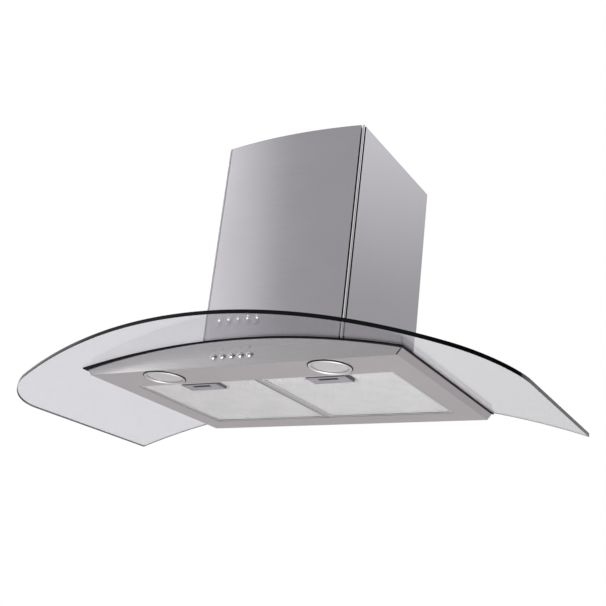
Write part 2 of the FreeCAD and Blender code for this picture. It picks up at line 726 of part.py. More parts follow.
def outlet_flap(side):
    """Half-round non-return flap that hangs on the rod by two knuckles and lies on the seat when shut."""
    z = BOX_TOP + 0.1 + 26
    plate_z = BOX_TOP + 0.1 + 22.4
    radius = COLLAR_R - 2.2
    disc = rod(radius, (0, COLLAR_Y, plate_z), (0, COLLAR_Y, plate_z + 0.8))
    near, far = (COLLAR_Y + 1.4, COLLAR_Y + 90) if side == RIGHT else (COLLAR_Y - 90, COLLAR_Y - 1.4)
    flap = disc.common(box(-90, 90, near, far, plate_z - 5, plate_z + 5))
    for x in (-90, BOSS_INNER - 1):
        flap = flap.cut(box(x, x + 91 - BOSS_INNER, COLLAR_Y - 6.5, COLLAR_Y + 6.5, plate_z - 5, plate_z + 5))
    knuckles = (-50, 22) if side == RIGHT else (-36, 36)
    for x in knuckles:
        barrel = rod(3.0, (x, COLLAR_Y, z), (x + 13, COLLAR_Y, z))
        web_near, web_far = sorted((COLLAR_Y + side * 1.4, COLLAR_Y + side * 8))
        web = box(x, x + 13, web_near, web_far, plate_z, z)
        web = web.common(rod(9, (x, COLLAR_Y, z), (x + 13, COLLAR_Y, z)))
        flap = flap.fuse(barrel).fuse(web)
    return flap.cut(rod(1.55, (-90, COLLAR_Y, z), (90, COLLAR_Y, z))).removeSplitter()


# ---------------------------------------------------------------- chimney


def bowed_plan(half, corner_y, rear_y, bow, z0, z1):
    """Tall solid of a chimney section: straight sides and a bowed front."""
    edges = [
        Part.Arc(V(-half, corner_y, z0), V(0, corner_y - bow, z0), V(half, corner_y, z0)).toShape(),
        Part.LineSegment(V(half, corner_y, z0), V(half, rear_y, z0)).toShape(),
        Part.LineSegment(V(half, rear_y, z0), V(-half, rear_y, z0)).toShape(),
        Part.LineSegment(V(-half, rear_y, z0), V(-half, corner_y, z0)).toShape(),
    ]
    return Part.Face(Part.Wire(edges)).extrude(V(0, 0, z1 - z0))


def chimney_skin(inset, z0, z1):
    return bowed_plan(CHIMNEY_HALF - inset, CHIMNEY_FRONT + inset, CHIMNEY_REAR, CHIMNEY_BOW, z0, z1)


def on_glass(shape):
    return shape.cut(arch_drum(ARCH_R + GLASS_T + GAP))


def chimney_front():
    """Bowed front panel, its long edges folded back to clip behind the sides."""
    z0, z1 = -10.0, CHIMNEY_TOP
    half = CHIMNEY_HALF - CORNER_STRIP - CORNER_GROOVE
    skin = chimney_skin(0, z0, z1).cut(chimney_skin(SHEET, z0 - 1, z1 + 1))
    panel = skin.common(box(-half, half, CHIMNEY_FRONT - 30, CHIMNEY_FRONT + 1, z0, z1))
    for x in (-half, half - SHEET):
        panel = panel.fuse(box(x, x + SHEET, CHIMNEY_FRONT - 1.2, CHIMNEY_FRONT + 2.0, z0, z1))
    return on_glass(panel).removeSplitter()


def chimney_side(side):
    """Side panel with a bright corner bead in front, set off by a groove, and a flange along the wall."""
    z0, z1 = -20.0, CHIMNEY_TOP
    half, front = CHIMNEY_HALF, CHIMNEY_FRONT
    bead = front + BEAD_DEPTH
    panel_start = bead + SIDE_GROOVE
    panel = box(half - SHEET, half, panel_start, CHIMNEY_REAR, z0, z1)
    panel = panel.fuse(box(half - 2.8, half, panel_start, panel_start + SHEET, z0, z1))
    panel = panel.fuse(box(half - 2.8, half - 1.8, front + 1, panel_start + SHEET, z0, z1))
    strip = box(half - CORNER_STRIP, half, front, bead, z0, z1)
    upright = [e for e in strip.Edges if abs(e.tangentAt(e.FirstParameter).z) > 0.99]
    strip = strip.makeFillet(0.8, [e for e in upright if e.Vertexes[0].Y < front + 0.1])
    panel = panel.fuse(strip)
    panel = panel.fuse(box(half - 14, half, CHIMNEY_REAR - SHEET, CHIMNEY_REAR, z0, z1)).removeSplitter()
    if side == LEFT:
        panel = panel.mirror(V(0, 0, 0), V(1, 0, 0))
    return on_glass(panel)


def upper_chimney():
    """Telescopic section that rests inside the lower one and is drawn up to the ceiling."""
    z0, z1 = 12.0, UPPER_TOP
    inset = SHEET + UPPER_GAP + 2.4
    outer_rear = CHIMNEY_REAR - SHEET - UPPER_GAP

    def section(more, rear):
        return bowed_plan(CHIMNEY_HALF - inset - more, CHIMNEY_FRONT + inset + more, rear, CHIMNEY_BOW, z0 - 1, z1 + 1)

    wall = section(0, outer_rear).cut(section(0.8, outer_rear - 0.8))
    slot = box(-CHIMNEY_HALF + inset + 14, CHIMNEY_HALF - inset - 14, outer_rear - 2, outer_rear + 2, z0 - 5, z1 + 5)
    wall = wall.cut(slot)
    return wall.common(box(-200, 200, -400, 10, z0, z1))


def chimney_bracket():
    """Wall bracket across the top of the telescopic section."""
    z0, z1 = UPPER_TOP - 26, UPPER_TOP - 6
    inner = CHIMNEY_HALF - SHEET - UPPER_GAP - 2.4 - 0.8
    lug_y = CHIMNEY_REAR - SHEET - UPPER_GAP - 0.8
    bracket = box(-100, 100, -1.5, 0, z0, z1)
    for side in (LEFT, RIGHT):
        a, b = sorted((side * 100, side * 98.5))
        bracket = bracket.fuse(box(a, b, lug_y - 1.5, 0, z0, z1))
        a, b = sorted((side * 98.5, side * (inner - 0.1)))
        bracket = bracket.fuse(box(a, b, lug_y - 1.6, lug_y - 0.1, z0, z1))
    for x in (-60, 60):
        bracket = bracket.cut(rod(3.0, (x, -5, (z0 + z1) / 2), (x, 5, (z0 + z1) / 2)))
    return bracket.removeSplitter()


# ---------------------------------------------------------------- write the pieces


def pieces():
    made = {
        "glass_canopy": glass_canopy(),
        "glass_fixings": glass_fixings(),
        "glass_seal": glass_seal(),
        "top_deck": top_deck(),
        "canopy_shell": canopy_shell(),
        "front_fascia": front_fascia(),
        "filter_divider": filter_divider(),
        "plenum_baffle": plenum_baffle(),
        "button_bezels": button_bezels(),
        "switch_block": switch_block(),
        "switch_bracket": switch_bracket(),
        "lamp_transformer": lamp_transformer(),
        "control_box": control_box(),
        "mains_gland": mains_gland(),
        "run_capacitor": run_capacitor(),
        "wiring_loom": wiring_loom(),
        "hanging_plate": hanging_plate(),
        "blower_box": blower_box(),
        "blower_scroll": blower_scroll(),
        "inlet_rings": inlet_rings(),
        "impeller": impeller(),
        "fan_motor": fan_motor(),
        "motor_bracket": motor_bracket(),
        "outlet_collar": outlet_collar(),
        "flap_rod": flap_rod(),
        "flap_front": outlet_flap(LEFT),
        "flap_rear": outlet_flap(RIGHT),
        "chimney_front": chimney_front(),
        "upper_chimney": upper_chimney(),
        "chimney_bracket": chimney_bracket(),
    }
    for side, name in SIDE_NAME.items():
        made[f"filter_frame_{name}"] = filter_frame(side)
        made[f"filter_mesh_{name}"] = filter_mesh(side)
        made[f"latch_housing_{name}"] = latch_housing(side)
        made[f"latch_slider_{name}"] = latch_slider(side)
        made[f"latch_spring_{name}"] = latch_spring(side)
        made[f"lamp_bezel_{name}"] = lamp_bezel(side)
        made[f"lamp_lens_{name}"] = lamp_lens(side)
        made[f"lamp_can_{name}"] = lamp_can(side)
        made[f"lamp_bulb_{name}"] = lamp_bulb(side)
        made[f"chimney_side_{name}"] = chimney_side(side)
    for index, name in enumerate(BUTTON_NAMES):
        made[f"button_{name}"] = button(index)
        made[f"button_spring_{name}"] = button_spring(index)
    return made


os.makedirs("parts", exist_ok=True)
for node, shape in pieces().items():
    placed = shape.copy()
    placed.translate(V(0, 0, -FIX_CENTRE_Z))
    sound = placed.isValid() and all(s.isClosed() for s in placed.Shells)
    print(node, len(placed.Solids), "solids", round(placed.Volume), "mm3", "ok" if sound else "BROKEN")
    placed.exportStep(f"parts/{node}.step")
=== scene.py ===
import math

import bmesh
import bpy
from mathutils import Matrix, Vector


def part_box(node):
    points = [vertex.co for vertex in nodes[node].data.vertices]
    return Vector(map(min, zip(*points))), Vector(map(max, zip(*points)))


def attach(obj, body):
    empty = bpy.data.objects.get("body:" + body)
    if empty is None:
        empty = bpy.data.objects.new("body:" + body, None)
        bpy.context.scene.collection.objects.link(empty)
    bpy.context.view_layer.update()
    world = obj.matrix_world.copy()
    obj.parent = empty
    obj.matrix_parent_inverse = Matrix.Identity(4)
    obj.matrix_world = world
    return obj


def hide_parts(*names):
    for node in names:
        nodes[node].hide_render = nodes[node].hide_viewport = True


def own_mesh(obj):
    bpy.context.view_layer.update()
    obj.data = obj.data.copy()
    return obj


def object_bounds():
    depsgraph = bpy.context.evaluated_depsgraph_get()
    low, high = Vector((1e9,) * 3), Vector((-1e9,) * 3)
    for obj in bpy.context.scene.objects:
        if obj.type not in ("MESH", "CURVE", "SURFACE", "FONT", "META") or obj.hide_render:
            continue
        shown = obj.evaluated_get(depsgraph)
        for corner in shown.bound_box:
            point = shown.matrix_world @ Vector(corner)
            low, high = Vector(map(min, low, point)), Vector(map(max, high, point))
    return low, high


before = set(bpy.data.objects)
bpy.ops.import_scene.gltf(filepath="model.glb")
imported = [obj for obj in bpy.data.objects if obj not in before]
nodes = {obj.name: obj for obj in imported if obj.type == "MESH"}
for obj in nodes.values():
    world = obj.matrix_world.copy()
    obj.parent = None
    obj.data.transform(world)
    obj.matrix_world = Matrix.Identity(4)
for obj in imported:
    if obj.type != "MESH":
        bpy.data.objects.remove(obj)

cad_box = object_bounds()

# ---- Chimney -------------------------------------------------------------------------------------
# Three panels of 1 mm stainless sheet, brushed level with the floor, round a blower box. The front is
# rolled to a slight bow and clips behind the narrow corner folds of the two sides. The telescopic
# section nests inside them and hangs from its own bracket.

STEEL_TONE = (0.56, 0.545, 0.58)
BRUSH_LENGTH = 16.0  # strokes in each metre along the brushing
BRUSH_FINE = 2600.0  # strokes in each metre across it
BRUSH_COARSE = 700.0
CLOUD_SCALE = (7.0, 7.0, 9.0)
BEAD_DEPTH = 0.0024  # the corner bead with its painted highlight, from the panel's front edge
PAINTED_SHADE_END = 0.0072  # where the painted shade in the recess behind the bead stops
# painted highlight on the corner bead, and painted shade in the recess behind it
PAINTED_HIGHLIGHT_TONE = (0.97, 0.96, 0.98)
PAINTED_SHADE_TONE = (0.03, 0.03, 0.032)


def new_finish(name, tone, metallic, roughness):
    finish = bpy.data.materials.new(name)
    finish.use_nodes = True
    tree = finish.node_tree
    surface = tree.nodes["Principled BSDF"]
    surface.inputs["Base Color"].default_value = (*tone, 1)
    surface.inputs["Metallic"].default_value = metallic
    surface.inputs["Roughness"].default_value = roughness
    return finish, tree, surface


def add_node(tree, kind, inputs=(), **settings):
    made = tree.nodes.new("ShaderNode" + kind)
    for name, value in settings.items():
        setattr(made, name, value)
    for socket, source in dict(inputs).items():
        if hasattr(source, "is_output"):
            tree.links.new(source, made.inputs[socket])
        else:
            made.inputs[socket].default_value = source
    return made


def noise_on(tree, place, stretch, detail=2.0):
    """Noise whose grains are 1/stretch metres long in x, y and z."""
    scaled = add_node(tree, "Mapping", {"Vector": place, "Scale": stretch})
    settings = {"Vector": scaled.outputs["Vector"], "Scale": 1.0, "Detail": detail, "Roughness": 0.6}
    return add_node(tree, "TexNoise", settings).outputs["Fac"]


def spread(tree, value, low, high, source_low=0.25, source_high=0.75):
    """The value carried from its own range to the range low to high."""
    limits = {"From Min": source_low, "From Max": source_high, "To Min": low, "To Max": high}
    return add_node(tree, "MapRange", {"Value": value, **limits}).outputs["Result"]


def tint_by(tree, value, tone, low, high):
    """The tone made darker or lighter by a value from 0 to 1."""
    ramp = add_node(tree, "ValToRGB", {"Fac": value})
    for stop, gain in zip(ramp.color_ramp.elements, (low, high)):
        stop.color = (*[min(1.0, c * gain) for c in tone], 1)
    ramp.color_ramp.elements[0].position = 0.3
    ramp.color_ramp.elements[1].position = 0.7
    return ramp.outputs["Color"]


def mix_value(tree, factor, first, second):
    return add_node(tree, "Mix", {0: factor, 2: first, 3: second}, data_type="FLOAT").outputs[0]


def mix_colour(tree, factor, first, second):
    return add_node(tree, "Mix", {0: factor, 6: first, 7: second}, data_type="RGBA").outputs[2]


def brushed_steel(name, tone=STEEL_TONE, roughness=0.21):
    """Strokes run level on upright faces, and from side to side on faces that look down or up."""
    finish, tree, surface = new_finish(name, tone, 1.0, roughness)
    coords = add_node(tree, "TexCoord")
    place, facing = coords.outputs["Object"], coords.outputs["Normal"]
    level = add_node(tree, "SeparateXYZ", {"Vector": facing}).outputs["Z"]
    flat = add_node(tree, "Math", {0: level}, operation="ABSOLUTE").outputs[0]
    flat = spread(tree, flat, 0.0, 1.0, 0.6, 0.8)
    strokes = []
    for pitch in (BRUSH_FINE, BRUSH_COARSE):
        upright = noise_on(tree, place, (BRUSH_LENGTH, BRUSH_LENGTH, pitch))
        lying = noise_on(tree, place, (BRUSH_LENGTH, pitch, 1))
        strokes.append(mix_value(tree, flat, upright, lying))
    grain = mix_value(tree, 0.3, strokes[0], strokes[1])
    cloud = noise_on(tree, place, CLOUD_SCALE, 3.0)
    shade = mix_value(tree, 0.3, grain, cloud)
    tree.links.new(tint_by(tree, shade, tone, 0.95, 1.05), surface.inputs["Base Color"])
    tree.links.new(spread(tree, shade, roughness - 0.05, roughness + 0.05), surface.inputs["Roughness"])
    relief = add_node(tree, "Bump", {"Height": grain, "Strength": 0.08, "Distance": 0.00015})
    tree.links.new(relief.outputs["Normal"], surface.inputs["Normal"])
    return finish


def add_painted_corner_light(finish, node):
    """Painted highlight on the bead at the panel's front corner, and painted shade in the recess behind it.
    """
    tree = finish.node_tree
    surface = tree.nodes["Principled BSDF"]
    to_local = nodes[node].matrix_world.inverted()
    front = (to_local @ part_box(node)[0]).y
    place = add_node(tree, "TexCoord").outputs["Object"]
    depth = add_node(tree, "SeparateXYZ", {"Vector": place}).outputs["Y"]
    bead_end, shade_end = front + BEAD_DEPTH, front + PAINTED_SHADE_END
    in_painted_highlight = spread(tree, depth, 1.0, 0.0, bead_end - 0.0002, bead_end + 0.0001)
    past_painted_shade = spread(tree, depth, 0.0, 1.0, shade_end - 0.0001, shade_end + 0.0002)
    panel = surface.inputs["Base Color"].links[0].from_socket
    with_painted_shade = mix_colour(tree, past_painted_shade, (*PAINTED_SHADE_TONE, 1), panel)
    with_painted_highlight = mix_colour(tree, in_painted_highlight, with_painted_shade, (*PAINTED_HIGHLIGHT_TONE, 1))
    tree.links.new(with_painted_highlight, surface.inputs["Base Color"])


def coat(finish, *names):
    """Gives the CAD pieces this finish."""
    for name in names:
        slots = nodes[name].data.materials
        slots.clear()
        slots.append(finish)


stainless = brushed_steel("brushed_stainless")
coat(stainless, "chimney_front", "upper_chimney")
for side in ("left", "right"):
    side_steel = brushed_steel(f"brushed_stainless_{side}_panel")
    # each side gets a painted highlight on its corner bead and painted shade in the recess behind it
    add_painted_corner_light(side_steel, f"chimney_side_{side}")
    coat(side_steel, f"chimney_side_{side}")

# ---- Canopy body ---------------------------------------------------------------------------------
# A folded underside with its side and rear walls, a leaning front plate with an arched top edge, and a
# channel between the filters, all of brushed stainless. A curved galvanised deck closes the top under
# the glass, and a galvanised sheet stands between the filter bay and the electrics.

under_steel = brushed_steel("brushed_stainless_underside", (0.525, 0.49, 0.51), 0.31)
coat(under_steel, "canopy_shell", "filter_divider")
fascia_steel = brushed_steel("brushed_stainless_fascia", (0.56, 0.548, 0.558), 0.21)
coat(fascia_steel, "front_fascia")


ZINC_TONE = (0.52, 0.54, 0.56)
CRYSTALS = 90.0  # in each metre


def galvanised(name):
    """Zinc-dipped sheet with its pale crystal pattern."""
    finish, tree, surface = new_finish(name, ZINC_TONE, 1.0, 0.42)
    place = add_node(tree, "TexCoord").outputs["Object"]
    crystal = add_node(tree, "TexVoronoi", {"Vector": place, "Scale": CRYSTALS, "Randomness": 1.0})
    shade = add_node(tree, "SeparateColor", {"Color": crystal.outputs["Color"]}).outputs[0]
    tree.links.new(tint_by(tree, shade, ZINC_TONE, 0.92, 1.07), surface.inputs["Base Color"])
    tree.links.new(spread(tree, shade, 0.34, 0.52, 0.0, 1.0), surface.inputs["Roughness"])
    skin = noise_on(tree, place, (400, 400, 400), 3.0)
    relief = add_node(tree, "Bump", {"Height": skin, "Strength": 0.08, "Distance": 0.0003})
    tree.links.new(relief.outputs["Normal"], surface.inputs["Normal"])
    return finish


zinc_sheet = galvanised("galvanised_sheet")
coat(zinc_sheet, "top_deck", "plenum_baffle", "switch_bracket")

# ---- Canopy glass --------------------------------------------------------------------------------
# One sheet of 6 mm toughened glass bent to an arch, with a bowed front edge, round front corners and an
# opening for the air under the chimney. Its edges are ground and polished; their near-black front and
# dark grey sides are painted shade for how dark the edges look from below. Four screws clamp it between
# the deck and the blower box.

GLASS_T = 0.006
ARCH_R = 1.400
GLASS_DEPTH = 0.460
GLASS_SIDE_DEPTH = 0.370
CORNER_R = 0.110
OPENING_HALF = 0.096
OPENING_FRONT = -0.214
OPENING_REAR = -0.026
OPENING_R = 0.012
EDGE_ROUND = 0.0022
SHARP_ANGLE = 1.2  # radians between two faces, past which their edge is rounded
FACE_LEAN = 0.985  # cosine to the arch's own normal, below which a face belongs to an edge
EDGE_BAND = 0.004
FACE, FRONT_EDGE, SIDE_EDGE = 0, 1, 2  # material slots

glass_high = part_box("glass_canopy")[1]
GLASS_HALF = glass_high.x
ARCH_TOP = glass_high.z - GLASS_T  # the highest point of the underside

side_drop = GLASS_DEPTH - GLASS_SIDE_DEPTH
front_r = (GLASS_HALF**2 + side_drop**2) / (2 * side_drop)
front_centre_y = front_r - GLASS_DEPTH
corner_x = GLASS_HALF - CORNER_R
corner_y = front_centre_y - math.sqrt((front_r - CORNER_R) ** 2 - corner_x**2)
corner_turn = math.atan2(corner_x, front_centre_y - corner_y)
bow_end_x = corner_x + CORNER_R * math.sin(corner_turn)


def glass_columns():
    """(x, front y) from the middle out to the right-hand edge."""
    columns = []
    inner = [OPENING_HALF * i / 12 for i in range(11)]
    inner += [OPENING_HALF - OPENING_R + OPENING_R * math.sin(math.pi / 2 * i / 6) for i in range(7)]
    outer = [OPENING_HALF + (bow_end_x - OPENING_HALF) * i / 44 for i in range(1, 45)]
    for x in sorted(set(round(v, 7) for v in inner)) + outer:
        columns.append((x, front_centre_y - math.sqrt(front_r**2 - x**2)))
    for i in range(1, 25):
        turn = corner_turn + (math.pi / 2 - corner_turn) * i / 24
        columns.append((corner_x + CORNER_R * math.sin(turn), corner_y - CORNER_R * math.cos(turn)))
    return columns


def opening_span(x):
    """The y limits of the opening at x, or None outside it."""
    if x > OPENING_HALF + 1e-9:
        return None
    if x >= OPENING_HALF - 1e-9:
        return OPENING_FRONT + OPENING_R, OPENING_REAR - OPENING_R
    across = max(0.0, x - (OPENING_HALF - OPENING_R))
    swell = math.sqrt(OPENING_R**2 - across**2)
    return OPENING_FRONT + OPENING_R - swell, OPENING_REAR - OPENING_R + swell


def arched(x, y, radius):
    return (x, y, ARCH_TOP - ARCH_R + math.sqrt(radius**2 - x**2))


def close_rim(mesh, under, top):
    """Faces between the two sheets, all round the outside and the opening."""
    twin = {}
    for low_row, high_row in zip(under, top):
        for low, high in zip(low_row, high_row):
            twin[low] = high
    rim = [edge for edge in mesh.edges if len(edge.link_faces) == 1 and all(v in twin for v in edge.verts)]
    for edge in rim:
        first, second = edge.verts
        order = [loop.vert for loop in edge.link_faces[0].loops]
        if order[(order.index(first) + 1) % len(order)] == second:
            first, second = second, first
        mesh.faces.new((first, second, twin[second], twin[first]))
    mesh.normal_update()


def round_edges(mesh):
    """Rounds the long edges; the short upright ones between two rim faces stay as they are."""
    sharp = []
    for edge in mesh.edges:
        across = edge.verts[0].co - edge.verts[1].co
        folded = len(edge.link_faces) == 2 and edge.calc_face_angle(0) > SHARP_ANGLE
        if folded and abs(across.y) + abs(across.x) > 1e-6:
            sharp.append(edge)
    rounding = {"offset": EDGE_ROUND, "segments": 4, "profile": 0.5, "clamp_overlap": True}
    bmesh.ops.bevel(mesh, geom=sharp, affect="EDGES", **rounding)
    mesh.normal_update()


def mark_finishes(mesh):
    """Gives each face its material slot, and keeps the shading crisp where two slots meet."""
    for face in mesh.faces:
        centre = face.calc_center_median()
        outward = Vector((centre.x, 0, centre.z - (ARCH_TOP - ARCH_R))).normalized()
        face.material_index = FACE
        if abs(face.normal.dot(outward)) <= FACE_LEAN:
            at_side = abs(centre.x) > GLASS_HALF - EDGE_BAND or centre.y > -EDGE_BAND
            face.material_index = SIDE_EDGE if at_side else FRONT_EDGE
        face.smooth = True
    for edge in mesh.edges:
        edge.smooth = len({face.material_index for face in edge.link_faces}) < 2


def as_piece(mesh, name):
    """A scene object of this name that holds the finished mesh."""
    data = bpy.data.meshes.new(name)
    mesh.to_mesh(data)
    mesh.free()
    piece = bpy.data.objects.new(name, data)
    bpy.context.scene.collection.objects.link(piece)
    return piece


def build_glass():
    right = glass_columns()
    columns = [(-x, y) for x, y in reversed(right) if x > 0] + right
    mesh = bmesh.new()
    sheets = []
    solid_span = (OPENING_FRONT + OPENING_R, OPENING_REAR - OPENING_R)
    for radius in (ARCH_R, ARCH_R + GLASS_T):
        rows = []
        for x, front in columns:
            near, far = opening_span(abs(x)) or solid_span
            rows.append([mesh.verts.new(arched(x, y, radius)) for y in (front, near, far, 0.0)])
        sheets.append(rows)
    under, top = sheets
    for i in range(len(columns) - 1):
        middle = (abs(columns[i][0]) + abs(columns[i + 1][0])) / 2
        for strip in range(3):
            if strip == 1 and middle < OPENING_HALF:
                continue
            for rows, faces_down in ((under, True), (top, False)):
                ring = [rows[i][strip], rows[i + 1][strip], rows[i + 1][strip + 1], rows[i][strip + 1]]
                mesh.faces.new(ring[::-1] if faces_down else ring)
    close_rim(mesh, under, top)
    round_edges(mesh)
    mark_finishes(mesh)
    return as_piece(mesh, "canopy_glass_sheet")


def clear_glass(name, tone, shadow_tone):
    """Glass that light shines through, with the faint waviness that a toughening furnace leaves."""
    finish, tree, surface = new_finish(name, tone, 0.0, 0.0)
    surface.inputs["Transmission Weight"].default_value = 1.0
    surface.inputs["IOR"].default_value = 1.48
    place = add_node(tree, "TexCoord").outputs["Object"]
    ripple = noise_on(tree, place, (9.0, 5.0, 9.0), 1.0)
    relief = add_node(tree, "Bump", {"Height": ripple, "Strength": 0.02, "Distance": 0.002})
    tree.links.new(relief.outputs["Normal"], surface.inputs["Normal"])
    grime = noise_on(tree, place, (40.0, 40.0, 40.0), 4.0)
    tree.links.new(tint_by(tree, grime, tone, 0.985, 1.01), surface.inputs["Base Color"])
    see_through = add_node(tree, "BsdfTransparent", {"Color": (*shadow_tone, 1)})
    is_shadow = add_node(tree, "LightPath").outputs["Is Shadow Ray"]
    shaders = {0: is_shadow, 1: surface.outputs["BSDF"], 2: see_through.outputs["BSDF"]}
    mixed = add_node(tree, "MixShader", shaders)
    tree.links.new(mixed.outputs["Shader"], tree.nodes["Material Output"].inputs["Surface"])
    return finish


def edge_finish(name, tone, gloss):
    """Ground and polished glass seen end on, in a dark tone that is painted shade, with the slight waves
    that a grinding wheel leaves.
    """
    finish, tree, surface = new_finish(name, tone, 0.0, 0.12)
    place = add_node(tree, "TexCoord").outputs["Object"]
    wave = noise_on(tree, place, (60.0, 60.0, 60.0), 2.0)
    tree.links.new(tint_by(tree, wave, tone, 0.75, 1.35), surface.inputs["Base Color"])
    tree.links.new(spread(tree, wave, 0.08, 0.18), surface.inputs["Roughness"])
    surface.inputs["Specular IOR Level"].default_value = gloss
    return finish


glass_sheet = build_glass()
glass_sheet.data.materials.append(clear_glass("canopy_glass", (0.735, 0.730, 0.765), (0.80, 0.80, 0.82)))
# edge tones are painted shade: near black at the front and dark grey at the sides, for how dark the edges
# look from below
glass_sheet.data.materials.append(edge_finish("front_edge_painted_dark", (0.004, 0.005, 0.006), 0.14))
glass_sheet.data.materials.append(edge_finish("side_edge_painted_dark", (0.085, 0.095, 0.10), 0.35))
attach(glass_sheet, "canopy")
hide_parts("glass_canopy")

# ---- Glass seal and fixings ----------------------------------------------------------------------
# A black rubber frame lies on the body's top edges and shows as a dark line under the glass. Four
# zinc-plated screws with nylon sleeves clamp blower box, glass and deck together.


def plain_finish(name, tone, roughness, metallic=0.0, grain=600.0, relief_strength=0.1, contrast=0.1):
    """Moulded, plated or painted stock with a fine skin texture and slight unevenness of tone and gloss."""
    finish, tree, surface = new_finish(name, tone, metallic, roughness)
    place = add_node(tree, "TexCoord").outputs["Object"]
    cloud = noise_on(tree, place, (35.0, 35.0, 35.0), 3.0)
    skin = noise_on(tree, place, (grain, grain, grain), 2.0)
    tree.links.new(tint_by(tree, cloud, tone, 1 - contrast, 1 + contrast), surface.inputs["Base Color"])
    tree.links.new(spread(tree, skin, roughness * 0.85, roughness * 1.15), surface.inputs["Roughness"])
    relief = add_node(tree, "Bump", {"Height": skin, "Strength": relief_strength, "Distance": 0.0002})
    tree.links.new(relief.outputs["Normal"], surface.inputs["Normal"])
    return finish


# black rubber for the glass seal, also used as painted shade round the lamp rings
seal_rubber = plain_finish("seal_rubber", (0.002, 0.002, 0.0025), 0.6, grain=1400)
seal_rubber.node_tree.nodes["Principled BSDF"].inputs["Specular IOR Level"].default_value = 0.08
coat(seal_rubber, "glass_seal")
zinc_plate = plain_finish("zinc_plate", (0.62, 0.61, 0.56), 0.28, metallic=1.0)
coat(zinc_plate, "glass_fixings")

# ---- Grease filters ------------------------------------------------------------------------------
# Each filter is a bright aluminium channel frame round sheets of expanded aluminium. It hooks over the
# rear edge of the opening on two tabs, and has a moulded grey handle block with a sprung bolt in front.

SHEET_LAYERS = (  # height in the pack, diamond width and depth, share of each diamond that is metal
    (0.10, 0.0040, 0.0064, 0.46),
    (0.45, 0.0052, 0.0084, 0.52),
    (0.85, 0.0058, 0.0090, 0.52),
)
STRAND_T = 0.0005
STRAND_TILT = 0.0004  # how far a strand's edge leaves the plane of its sheet


def expanded_sheet(mesh, low, high, level, cell, metal_share, keep_out):
    """One expanded sheet: diamond holes between slit strands that tip out of the sheet's plane."""
    columns = round((high.x - low.x) / cell[0])
    rows = round((high.y - low.y) / cell[1])
    half_x = (high.x - low.x) / columns / 2
    half_y = (high.y - low.y) / rows / 2
    knots = {}

    def knot(col, row):
        if (col, row) not in knots:
            knots[col, row] = mesh.verts.new((low.x + col * half_x, low.y + row * half_y, level))
        return knots[col, row]

    for row in range(1, 2 * rows):
        for col in range(1 + (row + 1) % 2, 2 * columns, 2):
            x, y = low.x + col * half_x, low.y + row * half_y
            if keep_out[0] < x < keep_out[1] and keep_out[2] < y < keep_out[3]:
                continue
            outline = [knot(col - 1, row), knot(col, row - 1), knot(col + 1, row), knot(col, row + 1)]
            middle = Vector((x, y, level))
            rim = []
            for corner in outline:
                place = corner.co.lerp(middle, metal_share)
                place.z += STRAND_TILT * (place.y - y) / half_y
                rim.append(mesh.verts.new(place))
            for turn in range(4):
                after = (turn + 1) % 4
                mesh.faces.new((outline[turn], outline[after], rim[after], rim[turn]))


def build_filter_pack(side):
    low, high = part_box(f"filter_mesh_{side}")
    block_low, block_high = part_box(f"latch_housing_{side}")
    margin = SHEET_LAYERS[0][2]
    keep_out = (block_low.x - margin, block_high.x + margin, block_low.y - margin, block_high.y + margin)
    mesh = bmesh.new()
    for share, width, depth, metal_share in SHEET_LAYERS:
        level = low.z + (high.z - low.z) * share
        expanded_sheet(mesh, low, high, level, (width, depth), metal_share, keep_out)
    bmesh.ops.solidify(mesh, geom=mesh.faces[:], thickness=STRAND_T)
    bmesh.ops.recalc_face_normals(mesh, faces=mesh.faces[:])
    return as_piece(mesh, f"filter_pack_{side}")


mesh_metal = plain_finish(
    "expanded_aluminium", (0.93, 0.92, 0.925), 0.42, metallic=0.15, grain=900, contrast=0.04
)
frame_metal = brushed_steel("drawn_aluminium", (0.78, 0.78, 0.79), 0.32)
for side in ("left", "right"):
    pack = build_filter_pack(side)
    pack.data.materials.append(mesh_metal)
    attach(pack, f"filter_{side}")
    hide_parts(f"filter_mesh_{side}")
    coat(frame_metal, f"filter_frame_{side}")

block_grey = plain_finish("moulded_grey", (0.15, 0.142, 0.155), 0.5, grain=1100)
bolt_grey = plain_finish("moulded_dark_grey", (0.022, 0.021, 0.023), 0.5, grain=1100)
wire_steel = plain_finish("spring_wire", (0.45, 0.45, 0.47), 0.25, metallic=1.0)

SPRING_SIDES = 10
SPRING_STEPS = 28  # in each turn
SPRING_PITCH = 0.0019
LATCH_COIL_R = 0.0016
LATCH_WIRE_R = 0.0003
REARWARD = (0, 1, 0)


